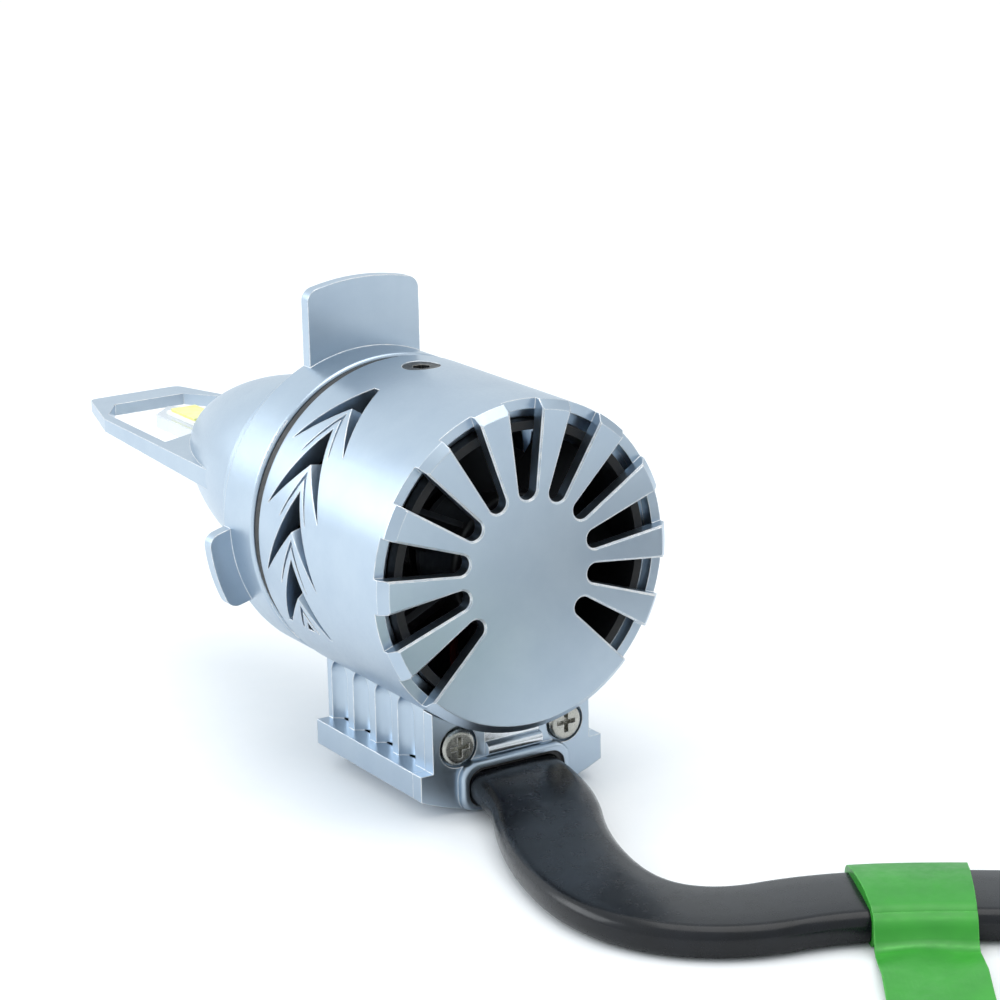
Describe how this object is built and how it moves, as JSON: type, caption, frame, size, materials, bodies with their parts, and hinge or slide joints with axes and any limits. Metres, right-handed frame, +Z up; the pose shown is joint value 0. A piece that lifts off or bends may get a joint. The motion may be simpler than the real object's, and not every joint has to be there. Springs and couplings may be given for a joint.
{
  "type": "headlight bulb",
  "caption": "Headlight bulb with flat open light frame, three-tab collar, finned fan housing, driver block and flat cable with plug.",
  "frame": {"origin": "on the bulb axis, in the seat face of the collar tabs (pilot mount)", "axes": "+Y along the bulb axis towards the light end, +Z up with the driver block underneath"},
  "size_m": [0.0853, 0.1535, 0.0499],
  "materials": {
    "satin_aluminium": "bead-blasted, clear anodised",
    "bright_metal": "bright plated",
    "nickel": "nickel plated",
    "black_steel": "black oxide",
    "black_aluminium": "black anodised",
    "copper": "enamelled winding",
    "brass": "plated contact",
    "ferrite": "sintered",
    "board_green": "solder mask",
    "black_plastic": "moulded",
    "white_ceramic": "matt",
    "phosphor": "phosphor coat",
    "lead_red": "insulation",
    "black_rubber": "moulded",
    "black_cable": "glossy sheath",
    "green_wrap": "printed wrap, print left out"
  },
  "bodies": {
    "bulb": {"body_shell": "satin_aluminium", "rear_cover": "satin_aluminium", "cable_clip": "bright_metal", "cover_screws": "nickel", "cable_grommet": "black_rubber", "set_screw": "black_steel", "driver_board": "board_green", "inductor": "ferrite", "capacitors": "bright_metal", "driver_chips": "black_plastic", "fan_frame": "black_plastic", "fan_bearings": "nickel", "fan_stator": "copper", "fan_board": "board_green", "heat_core": "black_aluminium", "neck_hub": "satin_aluminium", "circlip": "nickel", "seal_ring": "black_rubber", "blade_frame": "satin_aluminium", "core_board": "bright_metal", "led_substrates": "white_ceramic", "led_chips": "phosphor", "light_leads": "lead_red", "cable": "black_cable", "cable_wrap": "green_wrap", "plug_housing": "black_plastic", "plug_pins": "brass", "plug_latch": "black_plastic"},
    "fan": {"fan_rotor": "black_plastic", "rotor_magnet": "ferrite", "fan_shaft": "nickel"},
    "collar_ring": {"collar": "satin_aluminium"}
  },
  "joints": [
    {"name": "fan_spin", "type": "hinge", "parent": "bulb", "child": "fan", "pos_m": [0, -0.0285, 0], "axis": [0, 1, 0], "continuous": true},
    {"name": "collar_turn", "type": "hinge", "parent": "bulb", "child": "collar_ring", "pos_m": [0, -0.003, 0], "axis": [0, 1, 0], "continuous": true}
  ]
}
